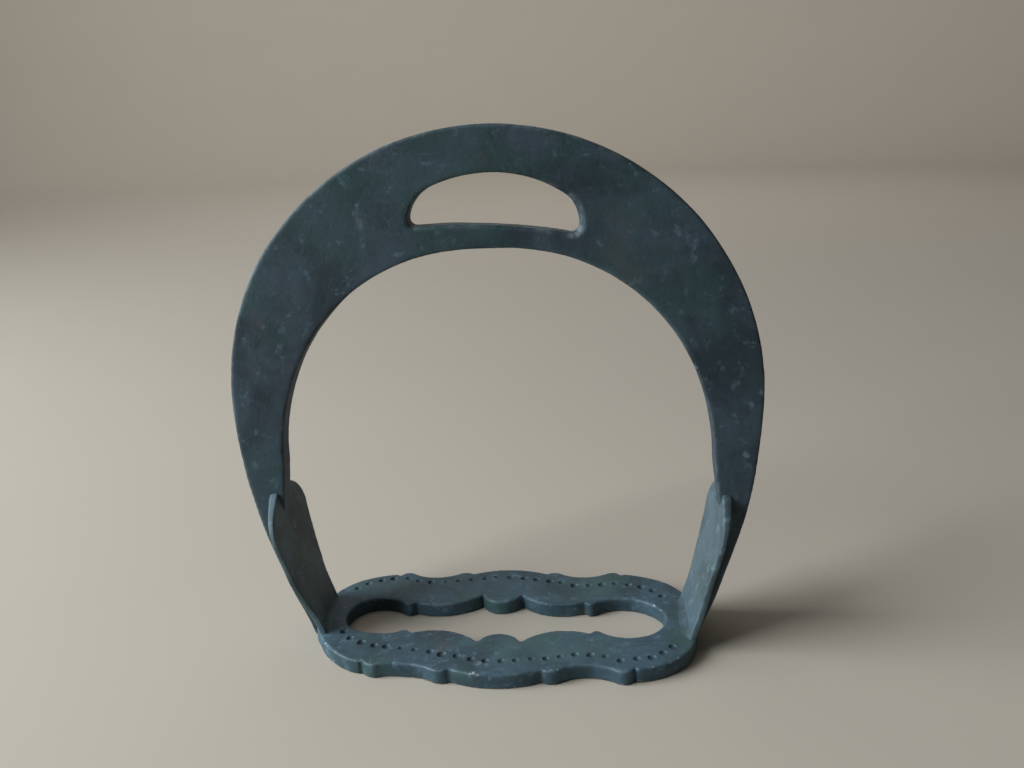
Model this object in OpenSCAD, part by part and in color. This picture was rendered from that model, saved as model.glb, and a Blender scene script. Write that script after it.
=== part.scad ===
// Stirrup iron: a flat crescent bow with a half-moon slot for the leather, two
// leaf-shaped cheeks that stand on the ends of a pierced, scalloped tread.
// Millimetres. X runs across the foot, -Y is the front, +Z is up. The origin
// is on the ground under the middle of the tread.

/* [Bow] */
// Outer radius of the bow's round crown
bow_r = 66; // [62:0.5:70]
// Height of the crown's centre above the ground
bow_z = 65.5; // [62:0.5:70]
// Thickness of the bow's flat plate
bow_t = 6; // [4:0.5:8]
// Radius of the long arcs that carry the crown down into the legs
flank_r = 130; // [120:5:150]
// Angle of the straight legs from upright
leg_angle = 18; // [16:0.5:19]
// Radius of the foot opening's round top
eye_r = 54.3; // [52:0.1:55.5]
// Height of the centre of the foot opening's round top
eye_z = 48.8; // [47:0.1:50]
// Height at which the foot opening reaches the cheeks
shoulder_z = 40; // [36:0.5:42]

/* [Leather slot] */
// Width of the slot
slot_w = 39; // [34:0.5:41]
// Height of the slot's top above the ground
slot_top_z = 120.6; // [119:0.1:122]
// Height of the middle of the slot's floor above the ground
slot_floor_z = 108.5; // [107.5:0.1:111]
// Radius of the slot's flat upper arc
slot_roof_r = 33; // [28:0.5:40]
// Radius of the slot's round shoulders
slot_end_r = 9; // [8:0.5:10]
// Radius of the slot's gently arched floor
slot_floor_r = 160; // [120:10:240]
// Radius of the slot's lower corners
slot_corner_r = 1.7; // [1:0.1:2.2]

/* [Cheeks] */
// Distance between the cheeks' inner faces at the tread
cheek_gap = 96.2; // [94:0.2:96.8]
// Outward lean of the cheeks
cheek_angle = 12.9; // [11:0.1:14]
// Thickness of the cheek plates
cheek_t = 2.4; // [1.8:0.1:3]
// Length of a cheek up its slope
cheek_h = 39; // [37:0.5:40]
// Width of a cheek at its waist
cheek_waist = 22.2; // [20:0.2:24]
// Width of a cheek across its round shoulders
cheek_w = 28.4; // [26:0.2:29.4]
// Radius of the cheek's hollow edges
cheek_hollow_r = 95; // [85:5:120]
// Radius of the cheek's crown
cheek_crown_r = 22; // [18:0.5:26]
// Radius of the cheek's round shoulders
cheek_shoulder_r = 5; // [4:0.5:6]

/* [Tread plate] */
// Length of the tread, under both cheeks
tread_l = 101.6; // [101:0.2:104]
// Depth of the tread over its middle lobes
tread_d = 54.4; // [52:0.2:56]
// Thickness of the tread plate
tread_t = 4; // [3:0.5:5]
// Radius of the rounded corner lobes
corner_r = 19; // [17:0.5:20]
// Depth of the tread over its corner lobes
corner_d = 49.2; // [48.6:0.2:50.4]
// Half length of a middle lobe
middle_half = 11.2; // [10:0.1:12]
// Radius of the middle lobes
middle_r = 26; // [24:1:30]
// Distance of the small lobes from the middle
small_x = 13.6; // [13.2:0.1:14.2]
// Radius of the small lobes
small_r = 3.4; // [3:0.1:3.8]
// Distance of the tip lobes from the middle
tip_x = 31.3; // [30.8:0.1:31.8]
// Radius of the tip lobes
tip_r = 2.8; // [2.5:0.1:3]
// Depth of the tread over its small and tip lobes
lobe_d = 51; // [50:0.2:52]
// Depth of the tread at its hollow waists
waist_d = 45.2; // [44:0.2:47]
// Depth of the sharp nick between a tip lobe and its corner lobe
nick_depth = 1.7; // [1:0.1:2]

/* [Tread slot] */
// Length of the slot through the tread
hole_l = 86.2; // [84:0.2:87]
// Radius of the slot's round ends
hole_end_r = 9.9; // [9:0.1:10.5]
// Gap between the two middle lobes in the slot
hole_middle_gap = 16; // [15:0.2:17]
// Radius of the middle lobes in the slot
hole_middle_r = 5.65; // [5.4:0.05:6]
// Gap between the two large lobes in the slot
hole_large_gap = 13; // [12:0.2:14]
// Radius of the large lobes in the slot
hole_large_r = 14.5; // [13.5:0.5:16]
// Distance of the large lobes from the middle
hole_large_x = 17; // [16.6:0.1:17.4]
// Radius of the tip lobes in the slot
hole_tip_r = 1.6; // [1.4:0.1:1.8]
// Gap between the two tip lobes in the slot
hole_tip_gap = 13.2; // [12.6:0.2:13.8]

/* [Braze seams] */
// Reach of the braze fillet between a cheek and the tread
braze_r = 4; // [3:0.5:5]
// Length of the braze fillet
braze_l = 21; // [18:0.5:22]

/* [Hidden] */
$fn = 160;
past = 1;
bronze_dark = [0.17, 0.23, 0.24];
bronze_pale = [0.27, 0.34, 0.36];
braze_colour = [0.24, 0.31, 0.32];

// The legs leave the flank arcs where those have turned through leg_angle.
leg_top_z = bow_z - flank_r * sin(leg_angle);
leg_top_x = bow_r - flank_r * (1 - cos(leg_angle));
leg_foot_x = leg_top_x - leg_top_z * tan(leg_angle);

// Inner face of a cheek at height z.
function cheek_x(z) = cheek_gap / 2 + (z - tread_t) * tan(cheek_angle);

// The slot's shoulders touch its roof arc from inside.
slot_end_x = slot_w / 2 - slot_end_r;
slot_roof_z = slot_top_z - slot_roof_r;
slot_end_z = slot_roof_z + sqrt(pow(slot_roof_r - slot_end_r, 2) - pow(slot_end_x, 2));
slot_tangent_x = slot_end_x * slot_roof_r / (slot_roof_r - slot_end_r);
slot_corner_x = slot_w / 2 - slot_corner_r;
slot_corner_z = slot_floor_z - slot_floor_r
    + sqrt(pow(slot_floor_r, 2) - pow(slot_corner_x, 2)) + slot_corner_r;

// The cheek's shoulders touch its crown from inside.
shoulder_y = cheek_w / 2 - cheek_shoulder_r;
crown_s = cheek_h - cheek_crown_r;
shoulder_s = crown_s + sqrt(pow(cheek_crown_r - cheek_shoulder_r, 2) - pow(shoulder_y, 2));
crown_tangent_y = shoulder_y * cheek_crown_r / (cheek_crown_r - cheek_shoulder_r);
// Height of the waist, where the hollow edges come closest
waist_s = shoulder_s - sqrt(pow(cheek_hollow_r, 2)
    - pow(cheek_hollow_r - (cheek_w - cheek_waist) / 2, 2));

// One arc hollows the waist between a small lobe and a tip lobe and touches both.
lobe_rise = (lobe_d - waist_d) / 2;
hollow_x = (small_x + tip_x) / 2 + lobe_rise * (small_r - tip_r) / (tip_x - small_x);
hollow_r = (pow(hollow_x - small_x, 2) - lobe_rise * (2 * small_r - lobe_rise)) / (2 * lobe_rise);
hollow_y = waist_d / 2 + hollow_r;
small_y = lobe_d / 2 - small_r;
tip_y = lobe_d / 2 - tip_r;
// Where the hollow arc leaves the small lobe and meets the tip lobe
hollow_start_x = small_x + (hollow_x - small_x) * small_r / (small_r + hollow_r);
hollow_stop_x = tip_x - (tip_x - hollow_x) * tip_r / (tip_r + hollow_r);
corner_x = tread_l / 2 - corner_r;
corner_y = corner_d / 2 - corner_r;
nick_x = tip_x + tip_r;
// The hollows bite this far into their lobes, so that the arcs cross and don't just touch.
bite = 0.03;

// The slot's tip lobes touch its round ends from outside.
hole_end_x = hole_l / 2 - hole_end_r;
hole_tip_y = hole_tip_gap / 2 + hole_tip_r;
hole_tip_x = hole_end_x - sqrt(pow(hole_end_r + hole_tip_r, 2) - pow(hole_tip_y, 2));
hole_side_x = hole_tip_x + (hole_end_x - hole_tip_x) * hole_tip_r / (hole_tip_r + hole_end_r);
hole_side_y = hole_middle_gap / 2 + hole_middle_r;

module disc(x, y, r) {
    translate([x, y])
        circle(r = r);
}

// A rectangle between two corners.
module box2(x0, y0, x1, y1) {
    translate([x0, y0])
        square([x1 - x0, y1 - y0]);
}

module both_sides() {
    children();
    mirror([1, 0]) children();
}

module all_corners() {
    both_sides() {
        children();
        mirror([0, 1]) children();
    }
}

// Stands a drawing of the bow's plane upright, centred on the tread.
module upright(thickness) {
    rotate([90, 0, 0])
        translate([0, 0, -thickness / 2])
            linear_extrude(thickness)
                children();
}

module bow_outline() {
    intersection() {
        disc(0, bow_z, bow_r);
        box2(-bow_r, bow_z, bow_r, bow_z + bow_r);
    }
    intersection() {
        disc(bow_r - flank_r, bow_z, flank_r);
        disc(flank_r - bow_r, bow_z, flank_r);
        box2(-bow_r, leg_top_z, bow_r, bow_z);
    }
    polygon([
        [-leg_foot_x, 0], [leg_foot_x, 0],
        [leg_top_x, leg_top_z], [-leg_top_x, leg_top_z]
    ]);
}

// The foot opening: round above, then widening to meet the cheeks.
module eye_outline() {
    disc(0, eye_z, eye_r);
    polygon([
        [-eye_r, eye_z], [-cheek_x(shoulder_z), shoulder_z], [-cheek_x(0), 0],
        [cheek_x(0), 0], [cheek_x(shoulder_z), shoulder_z], [eye_r, eye_z]
    ]);
    box2(-tread_l / 2, -past, tread_l / 2, tread_t);
}

// The half-moon slot that the leather runs through.
module leather_slot_outline() {
    difference() {
        union() {
            intersection() {
                disc(0, slot_roof_z, slot_roof_r);
                box2(-slot_tangent_x, slot_corner_z, slot_tangent_x, slot_top_z);
            }
            both_sides() {
                intersection() {
                    disc(slot_end_x, slot_end_z, slot_end_r);
                    box2(0, slot_corner_z, slot_w, slot_top_z);
                }
                disc(slot_corner_x, slot_corner_z, slot_corner_r);
            }
            box2(-slot_corner_x, slot_corner_z - slot_corner_r, slot_corner_x, slot_corner_z);
        }
        disc(0, slot_floor_z - slot_floor_r, slot_floor_r);
    }
}

// The leaf shape of a cheek, drawn up its own slope from the top of the tread.
module cheek_outline() {
    difference() {
        box2(-cheek_w / 2, -cheek_t, cheek_w / 2, shoulder_s);
        both_sides()
            disc(cheek_waist / 2 + cheek_hollow_r, waist_s, cheek_hollow_r);
    }
    both_sides()
        intersection() {
            disc(shoulder_y, shoulder_s, cheek_shoulder_r);
            box2(0, shoulder_s, cheek_w, cheek_h);
        }
    intersection() {
        disc(0, crown_s, cheek_crown_r);
        box2(-crown_tangent_y, shoulder_s, crown_tangent_y, cheek_h);
    }
}

module cheek_plate() {
    difference() {
        translate([cheek_gap / 2, 0, tread_t])
            rotate([0, cheek_angle, 0])
                rotate([90, 0, 90])
                    linear_extrude(cheek_t)
                        cheek_outline();
        translate([0, -cheek_w, -past])
            cube([tread_l, 2 * cheek_w, tread_t + past]);
    }
}

// The broad lobe in the middle of the tread's back edge.
module middle_lobe() {
    intersection() {
        disc(0, tread_d / 2 - middle_r, middle_r);
        box2(-middle_half, 0, middle_half, tread_d / 2);
    }
}

module tread_outline() {
    difference() {
        union() {
            box2(-nick_x, -waist_d / 2, nick_x, waist_d / 2);
            box2(-tread_l / 2, -corner_y, tread_l / 2, corner_y);
            middle_lobe();
            mirror([0, 1]) middle_lobe();
            all_corners() {
                disc(small_x, small_y, small_r);
                disc(tip_x, tip_y, tip_r);
                box2(hollow_start_x, 0, hollow_stop_x, lobe_d / 2);
                intersection() {
                    disc(corner_x, corner_y, corner_r);
                    box2(tip_x, corner_y, tread_l / 2, corner_d / 2);
                }
            }
        }
        all_corners() {
            disc(hollow_x, hollow_y, hollow_r + bite);
            polygon([
                [nick_x - nick_depth / 3, tread_d / 2], [nick_x + nick_depth / 3, tread_d / 2],
                [nick_x, corner_d / 2 - nick_depth]
            ]);
        }
    }
}

// The pierced middle of the tread: round ends and lobes that reach into it.
module tread_hole_outline() {
    both_sides()
        disc(hole_end_x, 0, hole_end_r);
    difference() {
        box2(-hole_side_x, -hole_side_y, hole_side_x, hole_side_y);
        for (side = [-1, 1])
            disc(0, side * hole_side_y, hole_middle_r);
        all_corners() {
            disc(hole_large_x, hole_large_gap / 2 + hole_large_r, hole_large_r);
            disc(hole_tip_x, hole_tip_y, hole_tip_r);
            box2(hole_tip_x, hole_tip_y, hole_side_x + past, hole_side_y + past);
        }
    }
}

// Section of the braze fillet between the tread's top and a cheek's inner face.
module braze_section() {
    difference() {
        polygon([
            [cheek_x(tread_t), tread_t],
            [cheek_x(tread_t + braze_r), tread_t + braze_r],
            [cheek_x(tread_t) - braze_r, tread_t + braze_r],
            [cheek_x(tread_t) - braze_r, tread_t]
        ]);
        disc(cheek_x(tread_t) - braze_r, tread_t + braze_r, braze_r);
    }
}

module bow() {
    color(bronze_dark)
        difference() {
            upright(bow_t)
                difference() {
                    bow_outline();
                    eye_outline();
                    leather_slot_outline();
                }
            cheek_plate();
            mirror([1, 0, 0]) cheek_plate();
        }
}

module right_cheek() {
    color(bronze_pale)
        cheek_plate();
}

module left_cheek() {
    color(bronze_dark)
        mirror([1, 0, 0]) cheek_plate();
}

module tread() {
    color(bronze_pale)
        linear_extrude(tread_t)
            difference() {
                tread_outline();
                tread_hole_outline();
            }
}

module right_braze() {
    color(braze_colour)
        upright(braze_l)
            braze_section();
}

module left_braze() {
    color(braze_colour)
        mirror([1, 0, 0])
            upright(braze_l)
                braze_section();
}

bow();
left_cheek();
right_cheek();
tread();
left_braze();
right_braze();
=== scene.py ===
import math

import bpy
import numpy as np
from mathutils import Matrix, Vector, noise


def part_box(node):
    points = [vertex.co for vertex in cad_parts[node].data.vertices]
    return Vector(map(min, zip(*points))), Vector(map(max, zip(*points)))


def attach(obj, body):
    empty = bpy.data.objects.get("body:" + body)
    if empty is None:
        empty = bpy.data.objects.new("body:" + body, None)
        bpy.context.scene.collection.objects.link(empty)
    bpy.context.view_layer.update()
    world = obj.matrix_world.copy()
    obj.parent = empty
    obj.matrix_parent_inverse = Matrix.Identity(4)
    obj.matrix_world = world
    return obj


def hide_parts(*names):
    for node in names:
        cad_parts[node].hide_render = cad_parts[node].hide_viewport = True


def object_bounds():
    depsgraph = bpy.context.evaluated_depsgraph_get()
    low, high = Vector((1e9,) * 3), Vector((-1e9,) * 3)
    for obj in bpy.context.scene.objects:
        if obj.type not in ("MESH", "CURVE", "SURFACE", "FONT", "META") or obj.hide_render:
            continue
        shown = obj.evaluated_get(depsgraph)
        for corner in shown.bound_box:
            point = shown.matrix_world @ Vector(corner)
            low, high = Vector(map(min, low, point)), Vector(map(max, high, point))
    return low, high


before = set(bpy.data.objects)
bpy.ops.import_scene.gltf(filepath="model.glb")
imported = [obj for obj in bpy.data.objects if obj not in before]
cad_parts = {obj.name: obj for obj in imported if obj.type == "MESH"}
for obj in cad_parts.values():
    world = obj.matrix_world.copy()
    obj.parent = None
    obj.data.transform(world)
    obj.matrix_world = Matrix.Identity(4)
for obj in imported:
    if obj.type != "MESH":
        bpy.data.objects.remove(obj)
CAD_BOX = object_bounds()

# Sizes below are in millimetres and degrees, and become metres where a mesh is made.
MM = 0.001
OUTLINE_STEP = 0.3
GRAIN = {"bow": 0.4, "cheek": 0.38, "tread": 0.34}  # spacing of the points on a finished plate


def span(node_name):
    """Length, depth and height of a CAD node."""
    low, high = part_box(node_name)
    return (high - low) / MM


BOW = {
    "radius": span("bow").x / 2, "centre": 65.5, "thick": span("bow").y, "flank": 130.0,
    "leg": 18.0, "eye": 54.3, "eye_centre": 48.8, "eye_flat": 1.25, "eye_skew": 0.75,
    "shoulder": {-1: 36.0, 1: 36.5}, "step": 3.0, "tongue": 0.8,
}
LEATHER_SLOT = {
    "half": 20.2, "top": 120.6, "floor": 108.5, "roof": 33.0, "end": 9.0, "arch": 160.0,
    "corner": 1.7, "tilt": -3.6, "aside": 1.6, "lean": 0.06, "pivot": 112.0,
}
CHEEK = {
    "gap": 96.2, "lean": 12.9, "thick": 2.4, "high": 38.6, "waist": 22.2,
    "wide": span("left_cheek").y, "hollow": 95.0, "crown": 19.0, "shoulder": 7.5, "root": 0.9,
    "thin": 0.5, "taller": {-1: 0.9, 1: 0.0}, "front_drop": {-1: 1.6, 1: 2.6}, "drop_over": (-3, 9),
}
TREAD = {
    "half": span("tread").x / 2, "deep": 54.4, "thick": span("tread").z, "corner": 19.0,
    "corner_deep": 49.2, "middle_half": 11.7, "middle": 26.0, "small_x": 13.6, "small": 3.4,
    "tip_x": 31.3, "tip": 2.8, "lobe_deep": 51.0, "waist_deep": 45.2, "nick": 1.7,
    "nick_before": 0.3, "nick_after": 0.4, "pinch": 0.05, "pinch_over": (10, 24),
    "shift_at": (-25, -7, 7, 25), "shift": (-0.36, -0.3, -1.4, 0.5), "true_ends": (34, 46),
}
TREAD_SLOT = {
    "half": 43.1, "end": 9.9, "middle_gap": 16.0, "middle": 5.65, "large_gap": 13.0,
    "large": 14.5, "large_x": 17.0, "tip": 1.6, "tip_gap": 13.2,
}
PIT = {
    "inset": 5.2, "spacing": 3.7, "ball": 1.35, "deep": 0.62, "jitter": 0.3, "seed": 4,
    "slant": -0.05, "shift": 0.6, "round_first": 2.4, "round_again": 1.2, "row_from": 12.5,
}
BRAZE = {"reach": 1.9, "half": 10.4, "fade": 8, "end": 0.12, "sunk": 0.4}
SOFTEN = {"bow": 0.4, "leather_slot": 0.3, "cheek": 0.3, "tread": 0.18}  # wear on the corners
DENTS = {"broad": 55, "fine": 190, "fine_share": 0.4}  # dents to a metre, and the fine ones' share
RIM_BLUR = 3  # rounds of blurring that spread a rim's mark
SHARP_EDGE = 40.0  # angle past which an edge of the tread stays crisp

# How far each part of the iron is out of true, and the stretches over which that sets in.
HAND = {
    "left_in": 0.8, "right_out": 0.6, "corner_right": 1.6, "corner_back": 3.1,
    "side_x": (28, 45), "foot_top": (3, 14), "cheek_foot": (2, 12), "cheek_top": (25, 60),
    "corner_x": (33, 46), "corner_y": (0, 12), "cut_x": (22, 35), "cut_y": (3, 15),
    "corner_top": (4, 22),
}
# Where the leather has rubbed the bow: beside the slot's right end, and less along its floor.
# There it is hollowed and painted paler, as rubbed metal and in part a painted highlight on the
# slot's lit walls.
SLOT_WEAR_AND_HIGHLIGHT = {
    "end_x": (15, 21), "end_top": (114, 119), "end_reach": (0.2, 1.7), "floor_top": (108, 111),
    "floor_foot": (101, 104), "floor_reach": (0.1, 1.0), "floor_share": 0.4, "bright": 2.0,
}
# The floor, and the places of the lights and the camera, are in metres.
FLOOR = {"hub": 0.02, "flat": 1.8, "sweep": 0.7, "wall": 1.4, "sides": 96, "steps": 14}
CAMERA = {
    "place": (0.02015, -0.22605, 0.1351), "yaw": 3.95, "down": 16.28, "roll": -1.94,
    "lens": 33.4, "sensor": 36.0, "near": 0.01, "far": 20.0,
}
DAYLIGHT, LAMPLIGHT = (0.94, 0.98, 1.0), (1.0, 0.99, 0.97)


# ---------------------------------------------------------------- outlines

def arc(centre, radius, start, stop):
    """Points round a circle from one angle to another."""
    count = max(2, int(abs(math.radians(stop - start)) * radius / OUTLINE_STEP) + 1)
    turn = np.radians(np.linspace(start, stop, count))
    return np.stack([centre[0] + radius * np.cos(turn), centre[1] + radius * np.sin(turn)], 1)


def angle_to(centre, point):
    """Direction from one point to another, in degrees from the X axis."""
    return math.degrees(math.atan2(point[1] - centre[1], point[0] - centre[0]))


def crossing(first, r_first, second, r_second):
    """The lower of the two points where two circles cross."""
    a, b = Vector(first), Vector(second)
    gap = (b - a).length
    along = (gap ** 2 + r_first ** 2 - r_second ** 2) / (2 * gap)
    aside = math.sqrt(max(r_first ** 2 - along ** 2, 0))
    way = (b - a) / gap
    side = Vector((-way.y, way.x))
    return min((a + way * along + side * s * aside for s in (-1, 1)), key=lambda p: p.y)


def even(points):
    """The same closed line with its points evenly spaced."""
    points = np.vstack([points, points[:1]])
    run = np.concatenate([[0], np.cumsum(np.hypot(*np.diff(points, axis=0).T))])
    keep = np.concatenate([[True], np.diff(run) > 1e-6])
    run, points = run[keep], points[keep]
    stops = np.linspace(0, run[-1], int(run[-1] / OUTLINE_STEP) + 1)
    return np.stack([np.interp(stops, run, points[:, k]) for k in (0, 1)], 1)[:-1]


def softened(loop, reach):
    """A closed line with its sharp corners worn round over about reach millimetres."""
    steps = int(3 * reach / OUTLINE_STEP) + 1
    at = np.arange(-steps, steps + 1) * OUTLINE_STEP
    weight = np.exp(-0.5 * (at / reach) ** 2)
    weight /= weight.sum()
    return sum(w * np.roll(loop, k, axis=0) for w, k in zip(weight, range(-steps, steps + 1)))


def outward(loop):
    """The direction out of the metal at each point of an outline drawn anticlockwise."""
    along = np.roll(loop, -1, axis=0) - np.roll(loop, 1, axis=0)
    along /= np.maximum(np.hypot(*along.T), 1e-9)[:, None]
    return np.stack([along[:, 1], -along[:, 0]], 1)


def mirrored(points, x=-1, y=1):
    """The same points across the Y axis, or across both axes or the X axis."""
    return np.asarray(points) * (x, y)


def cheek_inner_x(z):
    """Where the right cheek's inner face stands at a height."""
    return CHEEK["gap"] / 2 + (z - TREAD["thick"]) * math.tan(math.radians(CHEEK["lean"]))


def eye_arc():
    """Right half of the round over the foot: a circle, a little fuller at its shoulders."""
    turn = np.radians(np.linspace(90, 0, 300))
    fuller = np.sin(math.pi * (1 - turn / (math.pi / 2)) ** BOW["eye_skew"]) ** 2
    radius = BOW["eye"] + BOW["eye_flat"] * fuller
    return np.stack([radius * np.cos(turn), BOW["eye_centre"] + radius * np.sin(turn)], 1)


def bow_outline():
    """Round crown, long flanks and straight legs, then back up inside round the foot opening."""
    b, leg = BOW, math.radians(BOW["leg"])
    leg_top = (b["radius"] - b["flank"] * (1 - math.cos(leg)),
               b["centre"] - b["flank"] * math.sin(leg))
    foot = (leg_top[0] - leg_top[1] * math.tan(leg), 0)
    outside = np.vstack([
        [foot],
        arc((b["radius"] - b["flank"], b["centre"]), b["flank"], -b["leg"], 0),
        arc((0, b["centre"]), b["radius"], 0, 90),
    ])
    behind = CHEEK["thick"] / math.cos(math.radians(CHEEK["lean"])) - b["tongue"]
    low = TREAD["thick"]

    def inside(side):
        """Down the round, over the shoulder and behind the cheek to the ground."""
        shoulder = b["shoulder"][side]
        return np.vstack([
            eye_arc(),
            [(cheek_inner_x(shoulder), shoulder)],
            [(cheek_inner_x(shoulder - b["step"]) + behind, shoulder - b["step"])],
            [(cheek_inner_x(low) + behind, low)],
            [(TREAD["half"] - b["tongue"] / 2, 0)],
        ])

    return even(np.vstack([
        outside, mirrored(outside)[::-1], mirrored(inside(-1))[::-1], inside(1)]))


def leather_slot_outline():
    """Half moon: flat roof arc, round shoulders, small lower corners, gently arched floor."""
    s = LEATHER_SLOT
    shoulder_x = s["half"] - s["end"]
    roof_z = s["top"] - s["roof"]
    shoulder_z = roof_z + math.sqrt((s["roof"] - s["end"]) ** 2 - shoulder_x ** 2)
    turn = angle_to((0, roof_z), (shoulder_x, shoulder_z))
    corner_x = s["half"] - s["corner"]
    arch_z = s["floor"] - s["arch"]
    corner_z = arch_z + math.sqrt(s["arch"] ** 2 - corner_x ** 2) + s["corner"]
    right = np.vstack([
        arc((0, roof_z), s["roof"], 90, turn),
        arc((shoulder_x, shoulder_z), s["end"], turn, 0),
        arc((corner_x, corner_z), s["corner"], 0, -90),
        arc((0, arch_z), s["arch"], angle_to((0, arch_z), (corner_x, corner_z)), 90),
    ])
    level = even(np.vstack([right, mirrored(right)[::-1]])) - (0, s["pivot"])
    level[:, 0] += s["lean"] * (level[:, 1] + s["pivot"] - s["floor"])
    c, t = math.cos(math.radians(s["tilt"])), math.sin(math.radians(s["tilt"]))
    return level @ np.array([[c, t], [-t, c]]) + (s["aside"], s["pivot"])


def cheek_outline():
    """Leaf shape up the cheek's slope: hollow sides, round shoulders, round crown."""
    c = CHEEK
    shoulder_y = c["wide"] / 2 - c["shoulder"]
    crown_s = c["high"] - c["crown"]
    shoulder_s = crown_s + math.sqrt((c["crown"] - c["shoulder"]) ** 2 - shoulder_y ** 2)
    flare = (c["wide"] - c["waist"]) / 2
    waist_s = shoulder_s - math.sqrt(c["hollow"] ** 2 - (c["hollow"] - flare) ** 2)
    hollow = (c["waist"] / 2 + c["hollow"], waist_s)
    turn = angle_to((0, crown_s), (shoulder_y, shoulder_s))
    drop = math.degrees(math.asin((waist_s + c["root"]) / c["hollow"]))
    rise = math.degrees(math.asin((shoulder_s - waist_s) / c["hollow"]))
    right = np.vstack([
        arc(hollow, c["hollow"], 180 + drop, 180 - rise),
        arc((shoulder_y, shoulder_s), c["shoulder"], 0, turn),
        arc((0, crown_s), c["crown"], turn, 90),
    ])
    return even(np.vstack([right, mirrored(right)[::-1]]))


def all_round(quarter):
    """A closed outline from its quarter, which runs from the Y axis to the X axis."""
    return even(np.vstack([
        quarter, mirrored(quarter, 1, -1)[::-1], mirrored(quarter, -1, -1), mirrored(quarter)[::-1],
    ])[::-1])


def skewed(points):
    """The scallops aren't cut quite true: they sit to one side, and closer together at the back."""
    x, y = points.T
    hold = 1 - ramp(np.abs(x), *TREAD["true_ends"])
    pinch = TREAD["pinch"] * ramp(y, *TREAD["pinch_over"])
    shift = np.interp(y, TREAD["shift_at"], TREAD["shift"])
    return np.stack([x + hold * (shift - pinch * x), y], 1)


def tread_outline():
    """Middle lobe, small lobe, hollow waist, tip lobe, nick and broad corner lobe."""
    t = TREAD
    lobe_y = t["lobe_deep"] / 2
    small, tip = (t["small_x"], lobe_y - t["small"]), (t["tip_x"], lobe_y - t["tip"])
    rise = (t["lobe_deep"] - t["waist_deep"]) / 2
    mid_x = ((t["small_x"] + t["tip_x"]) / 2
             + rise * (t["small"] - t["tip"]) / (t["tip_x"] - t["small_x"]))
    hollow_r = ((mid_x - t["small_x"]) ** 2 - rise * (2 * t["small"] - rise)) / (2 * rise)
    hollow = (mid_x, t["waist_deep"] / 2 + hollow_r)
    middle = (0, t["deep"] / 2 - t["middle"])
    corner = (t["half"] - t["corner"], t["corner_deep"] / 2 - t["corner"])
    nick_x = t["tip_x"] + t["tip"]

    def angle_at(centre, radius, x):
        return math.degrees(math.acos((x - centre[0]) / radius))

    to_hollow, to_tip = angle_to(small, hollow), angle_to(tip, hollow)
    return skewed(all_round(np.vstack([
        arc(middle, t["middle"], 90, angle_at(middle, t["middle"], t["middle_half"])),
        arc(small, t["small"], angle_at(small, t["small"], t["middle_half"]), to_hollow),
        arc(hollow, hollow_r, to_hollow + 180, to_tip + 180),
        arc(tip, t["tip"], to_tip, angle_at(tip, t["tip"], nick_x - t["nick_before"])),
        [(nick_x, t["corner_deep"] / 2 - t["nick"])],
        arc(corner, t["corner"], angle_at(corner, t["corner"], nick_x + t["nick_after"]), 0),
        [(t["half"], 0)],
    ])))


def tread_slot_outline():
    """Round ends, with tip, large and middle lobes reaching into the slot."""
    s = TREAD_SLOT
    middle = (0, s["middle_gap"] / 2 + s["middle"])
    large = (s["large_x"], s["large_gap"] / 2 + s["large"])
    end = (s["half"] - s["end"], 0)
    tip_y = s["tip_gap"] / 2 + s["tip"]
    tip = (end[0] - math.sqrt((s["end"] + s["tip"]) ** 2 - tip_y ** 2), tip_y)
    first = crossing(middle, s["middle"], large, s["large"])
    second = crossing(large, s["large"], tip, s["tip"])
    to_end = angle_to(tip, end)
    return skewed(all_round(np.vstack([
        arc(middle, s["middle"], -90, angle_to(middle, first)),
        arc(large, s["large"], angle_to(large, first), angle_to(large, second)),
        arc(tip, s["tip"], angle_to(tip, second), to_end),
        arc(end, s["end"], to_end + 180, 0),
    ])))


# ---------------------------------------------------------------- metal plates

def mesh_object(name, mesh):
    piece = bpy.data.objects.new(name, mesh)
    bpy.context.scene.collection.objects.link(piece)
    return piece


def evaluated_mesh(piece):
    """A piece's mesh with its modifiers taken in, and the piece itself cleared away."""
    bpy.context.view_layer.update()
    graph = bpy.context.evaluated_depsgraph_get()
    mesh = bpy.data.meshes.new_from_object(piece.evaluated_get(graph), depsgraph=graph)
    bpy.data.objects.remove(piece)
    return mesh


def sheet_metal(name, loops, thick, grain):
    """Closed mesh of a plate cut to the given outlines, lying on the XY plane."""
    curve = bpy.data.curves.new(name, "CURVE")
    curve.dimensions, curve.fill_mode, curve.extrude = "2D", "BOTH", thick / 2 * MM
    for loop in loops:
        spline = curve.splines.new("POLY")
        spline.points.add(len(loop) - 1)
        places = np.zeros((len(loop), 4))
        places[:, :2], places[:, 3] = loop * MM, 1
        spline.points.foreach_set("co", places.ravel())
        spline.use_cyclic_u = True
    piece = mesh_object(name, evaluated_mesh(mesh_object(name, curve)))
    remesh = piece.modifiers.new("even", "REMESH")
    remesh.mode, remesh.voxel_size, remesh.use_smooth_shade = "VOXEL", grain * MM, True
    mesh = evaluated_mesh(piece)
    mesh.transform(Matrix.Translation((0, 0, thick / 2 * MM)))
    return mesh


def points_of(mesh, what="co"):
    values = np.zeros(len(mesh.vertices) * 3)
    mesh.vertices.foreach_get(what, values)
    return values.reshape(-1, 3)


def edges_of(mesh):
    pairs = np.zeros(len(mesh.edges) * 2, int)
    mesh.edges.foreach_get("vertices", pairs)
    return pairs.reshape(-1, 2)


def blurred(values, pairs, rounds, share=0.5):
    """Moves each value towards the mean of its neighbours'."""
    values = np.array(values, float).reshape(len(values), -1)
    count = np.bincount(pairs.ravel(), minlength=len(values))
    for _ in range(rounds):
        mean = np.stack([
            np.bincount(pairs[:, 0], column[pairs[:, 1]], len(values))
            + np.bincount(pairs[:, 1], column[pairs[:, 0]], len(values))
            for column in values.T], 1) / count[:, None]
        values = values + share * (mean - values)
    return values


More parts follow.
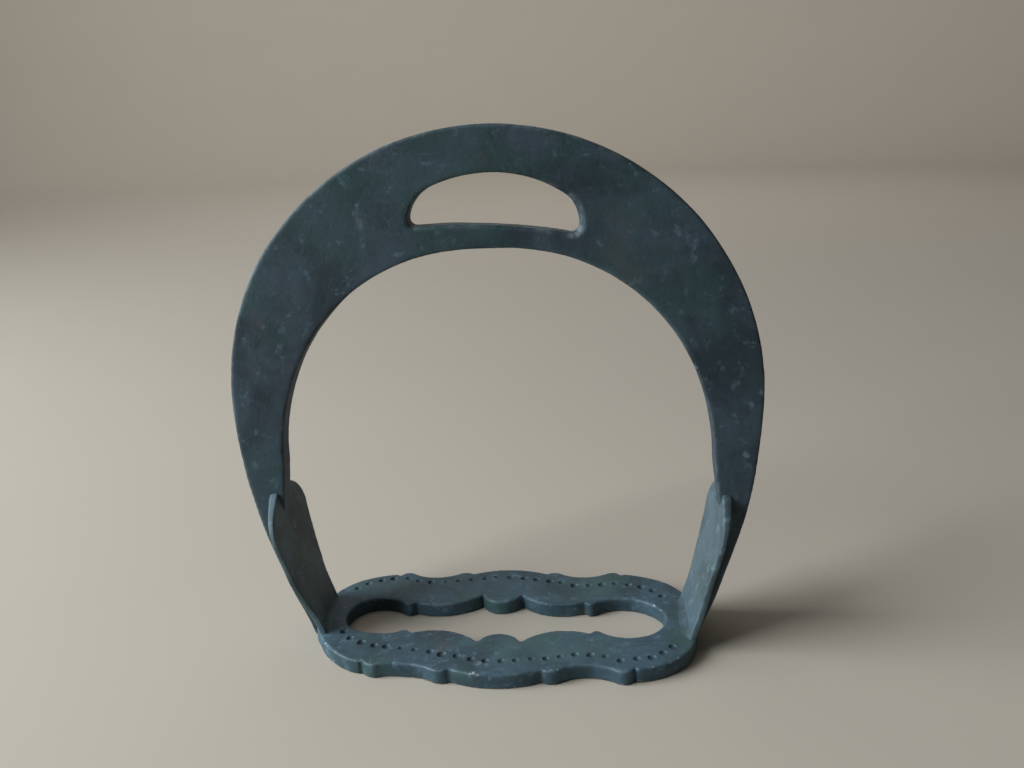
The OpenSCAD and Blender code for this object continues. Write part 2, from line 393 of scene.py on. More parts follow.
def set_points(mesh, places):
    mesh.vertices.foreach_set("co", np.asarray(places, np.float32).ravel())
    mesh.update()


def worn(mesh, rounding, dents, seed):
    """Rounds a plate's edges, makes its faces slightly uneven and marks its rims for the finish."""
    pairs = edges_of(mesh)
    places = blurred(points_of(mesh), pairs, rounding)
    set_points(mesh, places)
    normals = points_of(mesh, "normal")
    away = Vector((seed, 0, 0))
    lift = np.array([
        noise.noise(Vector(p) * DENTS["broad"] + away)
        + DENTS["fine_share"] * noise.noise(Vector(p) * DENTS["fine"])
        for p in places])
    set_points(mesh, places + normals * (lift * dents * MM)[:, None])
    facing = points_of(mesh, "normal")[:, 2] ** 2
    rim = blurred(1 - np.abs(2 * facing - 1), pairs, RIM_BLUR)[:, 0]
    mesh.attributes.new("rim", "FLOAT", "POINT").data.foreach_set("value", rim.astype(np.float32))


def ramp(values, start, stop):
    """0 before start, 1 after stop, smooth between."""
    t = np.clip((values - start) / (stop - start), 0, 1)
    return t * t * (3 - 2 * t)


def handmade(mesh):
    """Takes the mirror symmetry out: the left foot stands further in and the right cheek further
    out, and the tread's front left corner is cut back."""
    h = HAND
    x, y, z = points_of(mesh).T / MM
    low = 1 - ramp(z, *h["corner_top"])
    moved_x = (
        x + h["left_in"] * ramp(-x, *h["side_x"]) * (1 - ramp(z, *h["foot_top"]))
        + h["right_out"] * ramp(x, *h["side_x"]) * ramp(z, *h["cheek_foot"])
        * (1 - ramp(z, *h["cheek_top"]))
        + h["corner_right"] * ramp(-x, *h["corner_x"]) * ramp(-y, *h["corner_y"]) * low)
    moved_y = y + h["corner_back"] * ramp(-x, *h["cut_x"]) * ramp(-y, *h["cut_y"]) * low
    set_points(mesh, np.stack([moved_x, moved_y, z], 1) * MM)


def leather_wear_and_highlight(mesh, slot):
    """Hollows both faces beside the slot's right end and floor, where the leather rubs, and paints
    them
    paler: rubbed metal, and in part a painted highlight on the slot's lit walls. The bow still lies
    on the XY plane here, with its height along Y."""
    places = points_of(mesh) / MM
    across, up = places[:, 0], places[:, 1]
    far, every = 9.0, 3
    near = np.full(len(places), far)
    for point in slot[::every]:
        near = np.minimum(near, np.hypot(across - point[0], up - point[1]))
    right_end = ramp(across, *SLOT_WEAR_AND_HIGHLIGHT["end_x"]) * (1 - ramp(up, *SLOT_WEAR_AND_HIGHLIGHT["end_top"]))
    floor = (1 - ramp(up, *SLOT_WEAR_AND_HIGHLIGHT["floor_top"])) * ramp(up, *SLOT_WEAR_AND_HIGHLIGHT["floor_foot"])
    deep = np.maximum(
        right_end * (1 - ramp(near, *SLOT_WEAR_AND_HIGHLIGHT["end_reach"])),
        SLOT_WEAR_AND_HIGHLIGHT["floor_share"] * floor * (1 - ramp(near, *SLOT_WEAR_AND_HIGHLIGHT["floor_reach"])))
    middle = BOW["thick"] / 2
    places[:, 2] -= np.sign(places[:, 2] - middle) * deep * np.abs(places[:, 2] - middle) / middle
    set_points(mesh, places * MM)
    # Paler there: rubbed metal, and in part a painted highlight.
    rim = np.zeros(len(places), np.float32)
    mesh.attributes["rim"].data.foreach_get("value", rim)
    rim = np.maximum(rim, SLOT_WEAR_AND_HIGHLIGHT["bright"] * deep).astype(np.float32)
    mesh.attributes["rim"].data.foreach_set("value", rim)


def bow_piece():
    """The crescent plate with its leather slot, stood upright over the middle of the tread."""
    slot = softened(leather_slot_outline(), SOFTEN["leather_slot"])
    plate = softened(bow_outline(), SOFTEN["bow"])
    mesh = sheet_metal("bow", [plate, slot], BOW["thick"], GRAIN["bow"])
    worn(mesh, rounding=4, dents=0.14, seed=3)
    leather_wear_and_highlight(mesh, slot)
    stand = Matrix.Translation((0, BOW["thick"] / 2 * MM, 0)) @ Matrix.Rotation(math.pi / 2, 4, "X")
    mesh.transform(stand)
    handmade(mesh)
    return mesh_object("bow_plate", mesh)


def cheek_piece(name, side):
    """A leaf that leans outwards; side is -1 for the left one and 1 for the right one."""
    leaf = softened(cheek_outline(), SOFTEN["cheek"])
    mesh = sheet_metal(name, [leaf], CHEEK["thick"], GRAIN["cheek"])
    worn(mesh, rounding=4, dents=0.12, seed=7 + side)
    a = math.radians(CHEEK["lean"])
    y, s, w = points_of(mesh).T
    drop = CHEEK["front_drop"][side] * ramp(-y / MM, *CHEEK["drop_over"])
    s = s * (1 + (CHEEK["taller"][side] - drop) / CHEEK["high"])
    w = w * (1 - CHEEK["thin"] * np.clip(np.abs(y) / (CHEEK["wide"] / 2 * MM), 0, 1) ** 2)
    x = CHEEK["gap"] / 2 * MM + s * math.sin(a) + w * math.cos(a)
    z = TREAD["thick"] * MM + s * math.cos(a) - w * math.sin(a)
    set_points(mesh, np.stack([side * x, y, z], 1))
    if side < 0:
        mesh.flip_normals()
    handmade(mesh)
    return mesh_object(name, mesh)


def tread_piece():
    """The scalloped plate under the foot, before its border is punched."""
    loops = [softened(loop, SOFTEN["tread"]) for loop in (tread_outline(), tread_slot_outline())]
    mesh = sheet_metal("tread", loops, TREAD["thick"], GRAIN["tread"])
    worn(mesh, rounding=3, dents=0.12, seed=11)
    handmade(mesh)
    return mesh_object("tread_plate", mesh)


def pit_rows():
    """Two lines on the tread's top, inside its front and back margins."""
    loop = softened(tread_outline(), PIT["round_first"])
    loop = softened(loop - outward(loop) * PIT["inset"], PIT["round_again"])
    mesh = bpy.data.meshes.new("pit_rows")
    rows, links = [], []
    for side in (-1, 1):
        row = loop[side * loop[:, 1] > PIT["row_from"]]
        row = row[np.argsort(np.arctan2(row[:, 1], row[:, 0]))]
        row[:, 1] += PIT["slant"] * row[:, 0] + PIT["shift"]
        start = len(rows)
        rows += [(x * MM, y * MM, TREAD["thick"] * MM) for x, y in row]
        links += [(k, k + 1) for k in range(start, len(rows) - 1)]
    mesh.from_pydata(rows, links, [])
    handmade(mesh)
    return mesh_object("pit_rows", mesh)


def node(tree, kind, inputs=None, **settings):
    """Adds a node, sets it up, and joins or fills its inputs."""
    made = tree.nodes.new(kind)
    for key, value in settings.items():
        setattr(made, key, value)
    for key, value in (inputs or {}).items():
        if isinstance(value, bpy.types.NodeSocket):
            tree.links.new(value, made.inputs[key])
        else:
            made.inputs[key].default_value = value
    return made


def maths(tree, operation, first, second):
    """What a Math node makes of two values."""
    return node(tree, "ShaderNodeMath", {0: first, 1: second}, operation=operation).outputs[0]


def new_tree(name, kind, inputs, outputs):
    """A node tree with named inputs and outputs; returns it with its in and out sockets."""
    tree = bpy.data.node_groups.new(name, kind)
    for way, sockets in (("INPUT", inputs), ("OUTPUT", outputs)):
        for label, (socket_kind, value) in sockets.items():
            made = tree.interface.new_socket(
                name=label, in_out=way, socket_type="NodeSocket" + socket_kind)
            if value is not None:
                made.default_value = value
    given, out = tree.nodes.new("NodeGroupInput"), tree.nodes.new("NodeGroupOutput")
    return tree, given.outputs, out.inputs


def punch_tree():
    """Punches a row of shallow round pits into a plate along a path."""
    tree, given, out = new_tree("punched pits", "GeometryNodeTree", {
        "Plate": ("Geometry", None), "Path": ("Object", None), "Spacing": ("Float", 0.0035),
        "Ball Radius": ("Float", 0.001), "Depth": ("Float", 0.0005),
        "Unevenness": ("Float", 0.0003), "Seed": ("Int", 1), "Finish": ("Material", None),
    }, {"Plate": ("Geometry", None)})
    path = node(tree, "GeometryNodeObjectInfo", {"Object": given["Path"]})
    curve = node(tree, "GeometryNodeMeshToCurve", {"Mesh": path.outputs["Geometry"]})
    stops = node(tree, "GeometryNodeResampleCurve", {
        "Curve": curve.outputs["Curve"], "Length": given["Spacing"]}, mode="LENGTH")
    ball = node(tree, "GeometryNodeMeshIcoSphere", {"Radius": 1.0, "Subdivisions": 3})
    shake = node(tree, "FunctionNodeRandomValue", {
        "Min": (-1, -1, -0.4), "Max": (1, 1, 0.4), "Seed": given["Seed"]}, data_type="FLOAT_VECTOR")
    nudge = node(tree, "ShaderNodeVectorMath", {
        0: shake.outputs["Value"], "Scale": given["Unevenness"]}, operation="SCALE")
    above = maths(tree, "SUBTRACT", given["Ball Radius"], given["Depth"])
    lift = node(tree, "ShaderNodeCombineXYZ", {"Z": above})
    move = node(tree, "ShaderNodeVectorMath", {0: nudge.outputs[0], 1: lift.outputs[0]})
    points = node(tree, "GeometryNodeCurveToPoints", {
        "Curve": stops.outputs["Curve"]}, mode="EVALUATED")
    placed = node(tree, "GeometryNodeSetPosition", {
        "Geometry": points.outputs["Points"], "Offset": move.outputs[0]})
    size = node(tree, "FunctionNodeRandomValue", {
        2: 0.86, 3: 1.08, "Seed": given["Seed"]}, data_type="FLOAT")
    scale = maths(tree, "MULTIPLY", size.outputs[1], given["Ball Radius"])
    balls = node(tree, "GeometryNodeInstanceOnPoints", {
        "Points": placed.outputs["Geometry"], "Instance": ball.outputs["Mesh"],
        "Scale": scale})
    solid = node(tree, "GeometryNodeRealizeInstances", {"Geometry": balls.outputs["Instances"]})
    # The balls' points are marked, so that the pits can be painted darker towards their bottoms as
    # shade.
    marked = node(tree, "GeometryNodeStoreNamedAttribute", {
        "Geometry": solid.outputs["Geometry"], "Name": "pit", "Value": 1.0},
        data_type="FLOAT", domain="POINT")
    cut = node(tree, "GeometryNodeMeshBoolean", {
        "Mesh 1": given["Plate"], "Mesh 2": marked.outputs["Geometry"]},
        operation="DIFFERENCE", solver="MANIFOLD")
    whole = node(tree, "GeometryNodeRealizeInstances", {"Geometry": cut.outputs["Mesh"]})
    finished = node(tree, "GeometryNodeSetMaterial", {
        "Geometry": whole.outputs["Geometry"], "Material": given["Finish"]})
    tree.links.new(finished.outputs["Geometry"], out["Plate"])
    return tree


def punched(piece, rows, finish):
    """The tread with its punched border, as a plain mesh."""
    tree = punch_tree()
    modifier = piece.modifiers.new("punch", "NODES")
    modifier.node_group = tree
    values = {
        "Path": rows, "Spacing": PIT["spacing"] * MM, "Ball Radius": PIT["ball"] * MM,
        "Depth": PIT["deep"] * MM, "Unevenness": PIT["jitter"] * MM, "Seed": PIT["seed"],
        "Finish": finish,
    }
    for item in tree.interface.items_tree:
        if item.in_out == "INPUT" and item.name in values:
            modifier[item.identifier] = values[item.name]
    name = piece.name
    piece.name = "unpunched"
    mesh = evaluated_mesh(piece)
    bpy.data.objects.remove(rows)
    return mesh_object(name, mesh)


def woven(rings, size):
    """Faces between rings of points, each ring closed and with size points."""
    return [(k * size + j, k * size + (j + 1) % size, (k + 1) * size + (j + 1) % size,
             (k + 1) * size + j) for k in range(rings - 1) for j in range(size)]


def braze_piece(name, side):
    """Soft concave fillet in the corner between a cheek and the tread, fading out at both ends."""
    stations, across = 60, 14
    lean = math.radians(CHEEK["lean"])
    top, corner, sunk = TREAD["thick"], cheek_inner_x(TREAD["thick"]), BRAZE["sunk"]
    rows = []
    for t in np.linspace(-1, 1, stations):
        reach = BRAZE["reach"] * (1 - t ** BRAZE["fade"]) + BRAZE["end"]
        foot = corner - reach / math.tan((math.pi / 2 + lean) / 2)
        ring = [(foot + reach * math.cos(a), top + reach + reach * math.sin(a))
                for a in np.linspace(-math.pi / 2, -lean, across)]
        ring += [(cheek_inner_x(ring[-1][1]) + sunk, ring[-1][1]),
                 (corner + sunk, top - sunk), (foot, top - sunk)]
        rows.append([(side * x * MM, t * BRAZE["half"] * MM, z * MM) for x, z in ring])
    size = len(rows[0])
    faces = woven(stations, size)
    faces += [tuple(range(size))[::-1], tuple((stations - 1) * size + j for j in range(size))]
    mesh = bpy.data.meshes.new(name)
    mesh.from_pydata([p for row in rows for p in row], [], faces)
    if side > 0:
        mesh.flip_normals()
    mesh.update()
    handmade(mesh)
    return mesh_object(name, mesh)


# ---------------------------------------------------------------- finishes

def patina_mottle():
    """Cloudy patches between a dark, a middle and a pale colour, over two sizes of patch."""
    tree, given, out = new_tree("patina mottle", "ShaderNodeTree", {
        "Dark": ("Color", (0.02, 0.03, 0.03, 1)), "Middle": ("Color", (0.04, 0.06, 0.06, 1)),
        "Pale": ("Color", (0.1, 0.14, 0.16, 1)), "Patch Size": ("Float", 0.02),
        "Pale Share": ("Float", 0.3),
    }, {"Color": ("Color", None), "Pale Mask": ("Float", None)})
    pale_start, pale_softness, fleck_finer = 0.72, 0.2, 4.5
    place = node(tree, "ShaderNodeTexCoord").outputs["Object"]
    scale = maths(tree, "DIVIDE", 1.0, given["Patch Size"])
    broad = node(tree, "ShaderNodeTexNoise", {
        "Vector": place, "Scale": scale, "Detail": 5.0, "Roughness": 0.6, "Distortion": 0.4})
    depth = node(tree, "ShaderNodeMapRange", {
        "Value": broad.outputs["Fac"], "From Min": 0.36, "From Max": 0.64},
        interpolation_type="SMOOTHSTEP")
    base = node(tree, "ShaderNodeMix", {
        0: depth.outputs[0], 6: given["Dark"], 7: given["Middle"]}, data_type="RGBA")
    finer = maths(tree, "MULTIPLY", scale, fleck_finer)
    fleck = node(tree, "ShaderNodeTexNoise", {
        "Vector": place, "Scale": finer, "Detail": 8.0, "Roughness": 0.68, "Distortion": 0.2})
    low = maths(tree, "SUBTRACT", pale_start, given["Pale Share"])
    high = maths(tree, "ADD", low, pale_softness)
    pale = node(tree, "ShaderNodeMapRange", {
        "Value": fleck.outputs["Fac"], "From Min": low, "From Max": high},
        interpolation_type="SMOOTHSTEP")
    colour = node(tree, "ShaderNodeMix", {
        0: pale.outputs[0], 6: base.outputs[2], 7: given["Pale"]}, data_type="RGBA")
    tree.links.new(colour.outputs[2], out["Color"])
    tree.links.new(pale.outputs[0], out["Pale Mask"])
    return tree


def stain_patches():
    """Mask of a few soft-edged stains, for green corrosion or brown metal showing through."""
    tree, given, out = new_tree("stain patches", "ShaderNodeTree", {
        "Patch Size": ("Float", 0.015), "Share": ("Float", 0.2), "Shift": ("Float", 0.0),
    }, {"Mask": ("Float", None)})
    stain_start, stain_softness = 0.66, 0.16
    place = node(tree, "ShaderNodeTexCoord").outputs["Object"]
    away = node(tree, "ShaderNodeCombineXYZ", {"X": given["Shift"], "Y": given["Shift"]})
    moved = node(tree, "ShaderNodeVectorMath", {0: place, 1: away.outputs[0]})
    scale = maths(tree, "DIVIDE", 1.0, given["Patch Size"])
    cloud = node(tree, "ShaderNodeTexNoise", {
        "Vector": moved.outputs[0], "Scale": scale, "Detail": 6.0, "Roughness": 0.62})
    low = maths(tree, "SUBTRACT", stain_start, given["Share"])
    high = maths(tree, "ADD", low, stain_softness)
    mask = node(tree, "ShaderNodeMapRange", {
        "Value": cloud.outputs["Fac"], "From Min": low, "From Max": high},
        interpolation_type="SMOOTHSTEP")
    tree.links.new(mask.outputs[0], out["Mask"])
    return tree


def rim_wear_and_highlights():
    """Mask of the rims, broken up by noise: edges that hands and leather have rubbed, in part a
    painted highlight beside the leather slot, and at a high amount the tread's painted glints.
    """
    tree, given, out = new_tree("rubbed rims", "ShaderNodeTree", {
        "Amount": ("Float", 0.5), "Break Up": ("Float", 0.004), "Sparseness": ("Float", 0.0),
    }, {"Mask": ("Float", None)})
    mark_start, mark_full = 0.38, 0.66
    rim = node(tree, "ShaderNodeAttribute", attribute_name="rim").outputs["Fac"]
    place = node(tree, "ShaderNodeTexCoord").outputs["Object"]
    scale = maths(tree, "DIVIDE", 1.0, given["Break Up"])
    cloud = node(tree, "ShaderNodeTexNoise", {
        "Vector": place, "Scale": scale, "Detail": 5.0, "Roughness": 0.65})
    low, high = (
        maths(tree, "ADD", edge, given["Sparseness"])
        for edge in (mark_start, mark_full))
    uneven = node(tree, "ShaderNodeMapRange", {
        "Value": cloud.outputs["Fac"], "From Min": low, "From Max": high},
        interpolation_type="SMOOTHSTEP")
    marked_rim = maths(tree, "MULTIPLY", rim, uneven.outputs[0])
    mask = node(tree, "ShaderNodeMath", {
        0: marked_rim, 1: given["Amount"]}, operation="MULTIPLY", use_clamp=True)
    tree.links.new(mask.outputs[0], out["Mask"])
    return tree


def hairline_scratches():
    """Mask of fine pale scratches that run in two directions."""
    tree, given, out = new_tree("hairline scratches", "ShaderNodeTree", {
        "Length": ("Float", 0.02), "Amount": ("Float", 0.5),
    }, {"Mask": ("Float", None)})
    place = node(tree, "ShaderNodeTexCoord").outputs["Object"]
    scale = maths(tree, "DIVIDE", 1.0, given["Length"])
    ways = (((0.3, 0.5, 0.4), (1, 34, 34)), ((1.1, -0.4, 2.0), (1, 40, 40)))
    masks = []
    for turn, squeeze in ways:
        turned = node(tree, "ShaderNodeMapping", {
            "Vector": place, "Rotation": turn, "Scale": squeeze})
        streak = node(tree, "ShaderNodeTexNoise", {
            "Vector": turned.outputs[0], "Scale": scale, "Detail": 2.0, "Roughness": 0.5})
        masks.append(node(tree, "ShaderNodeMapRange", {
            "Value": streak.outputs["Fac"], "From Min": 0.71, "From Max": 0.79}).outputs[0])
    mask = maths(tree, "MULTIPLY", maths(tree, "MAXIMUM", *masks), given["Amount"])
    tree.links.new(mask, out["Mask"])
    return tree


def cast_skin():
    """Height of the fine grain and shallow corrosion pocks on old cast metal."""
    tree, given, out = new_tree("cast skin", "ShaderNodeTree", {
        "Grain Size": ("Float", 0.0006), "Pock Size": ("Float", 0.002),
        "Pock Depth": ("Float", 0.5),
    }, {"Height": ("Float", None)})
    place = node(tree, "ShaderNodeTexCoord").outputs["Object"]
    fine = maths(tree, "DIVIDE", 1.0, given["Grain Size"])
    grain = node(tree, "ShaderNodeTexNoise", {
        "Vector": place, "Scale": fine, "Detail": 6.0, "Roughness": 0.6})
    coarse = maths(tree, "DIVIDE", 1.0, given["Pock Size"])
    cell = node(tree, "ShaderNodeTexVoronoi", {
        "Vector": place, "Scale": coarse, "Randomness": 1.0}, feature="SMOOTH_F1")
    pock = node(tree, "ShaderNodeMapRange", {
        "Value": cell.outputs["Distance"], "From Min": 0.0, "From Max": 0.35},
        interpolation_type="SMOOTHSTEP")
    deep = maths(tree, "MULTIPLY", pock.outputs[0], given["Pock Depth"])
    both = maths(tree, "ADD", grain.outputs["Fac"], deep)
    tree.links.new(both, out["Height"])
    return tree


EFFECTS = {
    "mottle": patina_mottle(), "stain": stain_patches(), "rims": rim_wear_and_highlights(),
    "scratches": hairline_scratches(), "skin": cast_skin(),
}


def effect(tree, name, inputs):
    """Places one of the shared effects in a material, with the material's own values."""
    made = node(tree, "ShaderNodeGroup", node_tree=EFFECTS[name])
    for key, value in inputs.items():
        made.inputs[key].default_value = value
    return made.outputs


def rgb(red, green, blue):
    """A colour given as it looks on a screen, 0 to 255, as linear light."""
    return (*(((v / 255 + 0.055) / 1.055) ** 2.4 if v > 10 else v / 255 / 12.92
              for v in (red, green, blue)), 1)


# Painted shade in the tread's pits: a dark colour mixed in towards their bottoms.
PIT_SHADE_COLOUR, PIT_SHADE_SHARE = (0.02, 0.028, 0.03, 1), 0.3
# Painted glints: the near-white of a few specks along the tread's rims.
GLINT_COLOUR = rgb(206, 216, 226)


def old_bronze(name, mottle, green, brown, rims, scratches, skin, rim_colour, rough, metal,
               tread=False):
    """Patinated bronze: mottled colour, green and brown stains, rims rubbed paler, scratches and
    cast skin; beside the leather slot the paler rims are partly a painted highlight. The tread also
    has painted shade in its pits and a few painted glints along its edges."""
    finish = bpy.data.materials.new(name)
    finish.use_nodes = True
    tree = finish.node_tree
    shader = tree.nodes["Principled BSDF"]
    shader.inputs["Specular IOR Level"].default_value = 0.28

    def mix(mask, below, above):
        return node(tree, "ShaderNodeMix", {
            0: mask, 6: below, 7: above}, data_type="RGBA").outputs[2]

    ground = effect(tree, "mottle", mottle)
    colour = ground["Color"]
    for stain in (green, brown):
        mask = effect(tree, "stain", stain["mask"])["Mask"]
        colour = mix(maths(tree, "MULTIPLY", mask, stain["strength"]), colour, stain["colour"])
    marks = effect(tree, "scratches", scratches)["Mask"]
    colour = mix(marks, colour, rim_colour)
    # Rims painted paler: rubbed metal, and beside the leather slot partly a painted highlight.
    rubbed = effect(tree, "rims", rims)["Mask"]
    colour = mix(rubbed, colour, rim_colour)
    if tread:
        # Painted shade: each pit is painted darker towards its bottom.
        inside = node(tree, "ShaderNodeAttribute", attribute_name="pit").outputs["Fac"]
        colour = mix(maths(tree, "MULTIPLY", inside, PIT_SHADE_SHARE), colour, PIT_SHADE_COLOUR)
        # Painted glints: a few near-white specks where the tread's rim mark is strongest.
        glints = effect(tree, "rims", {"Amount": 4.0, "Break Up": 0.003, "Sparseness": 0.2})["Mask"]
        colour = mix(glints, colour, GLINT_COLOUR)
    tree.links.new(colour, shader.inputs["Base Color"])
    for mask, ends, socket in (
            (ground["Pale Mask"], rough, "Roughness"), (rubbed, metal, "Metallic")):
        level = node(tree, "ShaderNodeMapRange", {
            "Value": mask, "To Min": ends[0], "To Max": ends[1]}).outputs[0]
        tree.links.new(level, shader.inputs[socket])
    height = effect(tree, "skin", skin)["Height"]
    bump = node(tree, "ShaderNodeBump", {"Height": height, "Strength": 0.35, "Distance": 0.00025})
    tree.links.new(bump.outputs["Normal"], shader.inputs["Normal"])
    return finish


def bow_bronze():
    return old_bronze(
        "bow_bronze",
        mottle={"Dark": rgb(38, 52, 60), "Middle": rgb(56, 72, 84), "Pale": rgb(88, 110, 126),
                "Patch Size": 0.016, "Pale Share": 0.17},
        green={"mask": {"Patch Size": 0.018, "Share": 0.2, "Shift": 0.3}, "strength": 0.5,
               "colour": rgb(42, 70, 70)},
        brown={"mask": {"Patch Size": 0.015, "Share": 0.1, "Shift": 0.7}, "strength": 0.3,
               "colour": rgb(78, 74, 70)},
        rims={"Amount": 0.3, "Break Up": 0.004},
        scratches={"Length": 0.012, "Amount": 0.1},
        skin={"Grain Size": 0.0009, "Pock Size": 0.003, "Pock Depth": 0.5},
        rim_colour=rgb(150, 166, 168), rough=(0.58, 0.74), metal=(0.12, 0.5))


# Lighter than the bow's bronze: painted light, for the light that falls on the cheeks' faces.
def cheek_bronze():
    return old_bronze(
        "cheek_bronze",
        mottle={"Dark": rgb(60, 76, 82), "Middle": rgb(78, 98, 108), "Pale": rgb(104, 128, 140),
                "Patch Size": 0.016, "Pale Share": 0.2},
        green={"mask": {"Patch Size": 0.02, "Share": 0.16, "Shift": 0.1}, "strength": 0.4,
               "colour": rgb(70, 98, 88)},
        brown={"mask": {"Patch Size": 0.015, "Share": 0.06, "Shift": 0.9}, "strength": 0.4,
               "colour": rgb(92, 84, 76)},
        rims={"Amount": 0.35, "Break Up": 0.005},
        scratches={"Length": 0.015, "Amount": 0.3},
        skin={"Grain Size": 0.0009, "Pock Size": 0.003, "Pock Depth": 0.4},
        rim_colour=rgb(140, 158, 164), rough=(0.54, 0.68), metal=(0.12, 0.45))


def tread_bronze():
    return old_bronze(
        "tread_bronze",
        mottle={"Dark": rgb(48, 68, 77), "Middle": rgb(62, 86, 100), "Pale": rgb(90, 116, 134),
                "Patch Size": 0.012, "Pale Share": 0.2},
        green={"mask": {"Patch Size": 0.016, "Share": 0.18, "Shift": 0.5}, "strength": 0.4,
               "colour": rgb(66, 96, 88)},
        brown={"mask": {"Patch Size": 0.012, "Share": 0.07, "Shift": 0.2}, "strength": 0.4,
               "colour": rgb(90, 82, 74)},
        rims={"Amount": 0.35, "Break Up": 0.005},
        scratches={"Length": 0.012, "Amount": 0.35},
        skin={"Grain Size": 0.0008, "Pock Size": 0.0026, "Pock Depth": 0.6},
        rim_colour=rgb(150, 168, 176), rough=(0.5, 0.64), metal=(0.15, 0.5), tread=True)


def braze_metal():
    return old_bronze(
        "braze_metal",
        mottle={"Dark": rgb(58, 74, 82), "Middle": rgb(74, 94, 108), "Pale": rgb(96, 118, 132),
                "Patch Size": 0.012, "Pale Share": 0.14},
        green={"mask": {"Patch Size": 0.012, "Share": 0.2, "Shift": 0.4}, "strength": 0.4,
               "colour": rgb(70, 98, 88)},
        brown={"mask": {"Patch Size": 0.012, "Share": 0.06, "Shift": 0.6}, "strength": 0.4,
               "colour": rgb(90, 82, 74)},
        rims={"Amount": 0.4, "Break Up": 0.004},
        scratches={"Length": 0.01, "Amount": 0.25},
        skin={"Grain Size": 0.0008, "Pock Size": 0.0026, "Pock Depth": 0.5},
        rim_colour=rgb(140, 158, 164), rough=(0.54, 0.68), metal=(0.12, 0.45))


def plain(name, colour, rough):
    """Finish of the floor: matt, with the faintest clouding."""
    clouded = tuple(c * 0.96 for c in colour[:3]) + (1,)
    finish = bpy.data.materials.new(name)
    finish.use_nodes = True
    tree = finish.node_tree
    cloud = node(tree, "ShaderNodeTexNoise", {
        "Vector": node(tree, "ShaderNodeTexCoord").outputs["Object"], "Scale": 9.0, "Detail": 3.0})
    tint = node(tree, "ShaderNodeMix", {
        0: cloud.outputs["Fac"], 6: colour, 7: clouded}, data_type="RGBA")
    shader = tree.nodes["Principled BSDF"]
    tree.links.new(tint.outputs[2], shader.inputs["Base Color"])
    shader.inputs["Roughness"].default_value = rough
    return finish


# ---------------------------------------------------------------- assembly

def dressed(piece, finish, node_name):
    """Gives a piece its finish and its place in the frame."""
    piece.data.materials.clear()
    piece.data.materials.append(finish)
    piece.data.polygons.foreach_set("use_smooth", [True] * len(piece.data.polygons))
    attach(piece, "root")
    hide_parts(node_name)


def build_iron():
    bow, cheeks, tread, braze = bow_bronze(), cheek_bronze(), tread_bronze(), braze_metal()
    dressed(bow_piece(), bow, "bow")
    dressed(cheek_piece("left_cheek_plate", -1), cheeks, "left_cheek")
    dressed(cheek_piece("right_cheek_plate", 1), cheeks, "right_cheek")
    tread_plate = punched(tread_piece(), pit_rows(), tread)
    dressed(tread_plate, tread, "tread")
    tread_plate.data.set_sharp_from_angle(angle=math.radians(SHARP_EDGE))
    dressed(braze_piece("left_braze_fillet", -1), braze, "left_braze")
    dressed(braze_piece("right_braze_fillet", 1), braze, "right_braze")


def lay_floor():
    """Plain pale floor that sweeps up into a wall all round, far from the iron."""
    low = CAD_BOX[0].z
    flat, sweep, sides = FLOOR["flat"], FLOOR["sweep"], FLOOR["sides"]
    profile = [(FLOOR["hub"], 0), (flat, 0)]
    profile += [(flat + sweep * math.sin(a), sweep * (1 - math.cos(a)))
                for a in np.linspace(0.1, math.pi / 2, FLOOR["steps"])]
    profile += [(flat + sweep, sweep + FLOOR["wall"])]
    places = [(r * math.cos(a), r * math.sin(a), low + h) for r, h in profile
              for a in np.linspace(0, 2 * math.pi, sides, endpoint=False)]
    faces = woven(len(profile), sides)
    faces.append(tuple(range(sides))[::-1])
    mesh = bpy.data.meshes.new("floor")
    mesh.from_pydata(places, [], faces)
    mesh.flip_normals()
    mesh.polygons.foreach_set("use_smooth", [True] * len(mesh.polygons))
    floor = mesh_object("floor", mesh)
    mesh.materials.append(plain("pale floor", rgb(176, 169, 158), 0.85))


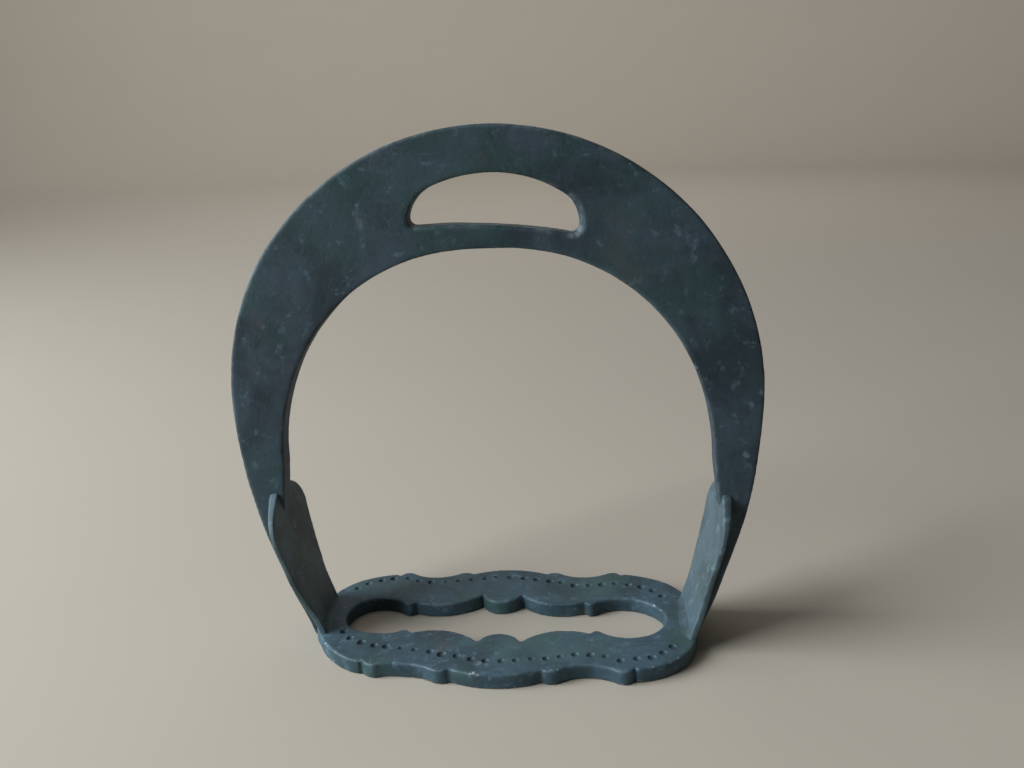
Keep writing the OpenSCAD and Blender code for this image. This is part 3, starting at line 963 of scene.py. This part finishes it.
def area_light(name, place, target, size, watts, colour):
    lamp = bpy.data.lights.new(name, "AREA")
    lamp.shape, lamp.energy, lamp.color = "RECTANGLE", watts, colour
    lamp.size, lamp.size_y = size
    holder = bpy.data.objects.new(name, lamp)
    bpy.context.scene.collection.objects.link(holder)
    holder.location = place
    holder.rotation_euler = (Vector(target) - Vector(place)).to_track_quat("-Z", "Y").to_euler()


def light_scene():
    """A window on the left, and soft weak light from above and behind and on the backdrop."""
    world = bpy.data.worlds.new("studio")
    bpy.context.scene.world = world
    world.use_nodes = True
    back = world.node_tree.nodes["Background"]
    back.inputs["Color"].default_value = (0.9, 0.95, 1.0, 1)
    back.inputs["Strength"].default_value = 0.05
    middle = (CAD_BOX[0] + CAD_BOX[1]) / 2
    area_light("window_left", place=(-0.88, -0.27, 0.52), target=middle, size=(0.8, 0.8),
               watts=21, colour=DAYLIGHT)
    area_light("soft_top", place=(-0.3, 0.1, 1.2), target=middle, size=(0.9, 0.9),
               watts=2.2, colour=LAMPLIGHT)
    area_light("back_fill", place=(-0.25, 1.0, 0.75), target=middle, size=(1.0, 0.6),
               watts=0.8, colour=LAMPLIGHT)
    area_light("backdrop", place=(-0.5, 1.1, 1.4), target=(0, 2.7, 0.6), size=(1.8, 0.5),
               watts=18, colour=LAMPLIGHT)


def place_camera():
    """Stands in front, a little to the right, and looks down at the iron."""
    camera = bpy.data.cameras.new("camera")
    camera.lens, camera.sensor_width = CAMERA["lens"], CAMERA["sensor"]
    camera.clip_start, camera.clip_end = CAMERA["near"], CAMERA["far"]
    holder = bpy.data.objects.new("camera", camera)
    bpy.context.scene.collection.objects.link(holder)
    yaw, down, roll = (math.radians(CAMERA[turn]) for turn in ("yaw", "down", "roll"))
    look = Vector((
        -math.sin(yaw) * math.cos(down), math.cos(yaw) * math.cos(down), -math.sin(down)))
    turn = look.to_track_quat("-Z", "Y").to_matrix() @ Matrix.Rotation(roll, 3, "Z")
    holder.matrix_world = Matrix.Translation(CAMERA["place"]) @ turn.to_4x4()
    bpy.context.scene.camera = holder


place_camera()
light_scene()
lay_floor()
build_iron()
bpy.context.scene.view_settings.view_transform = "Standard"
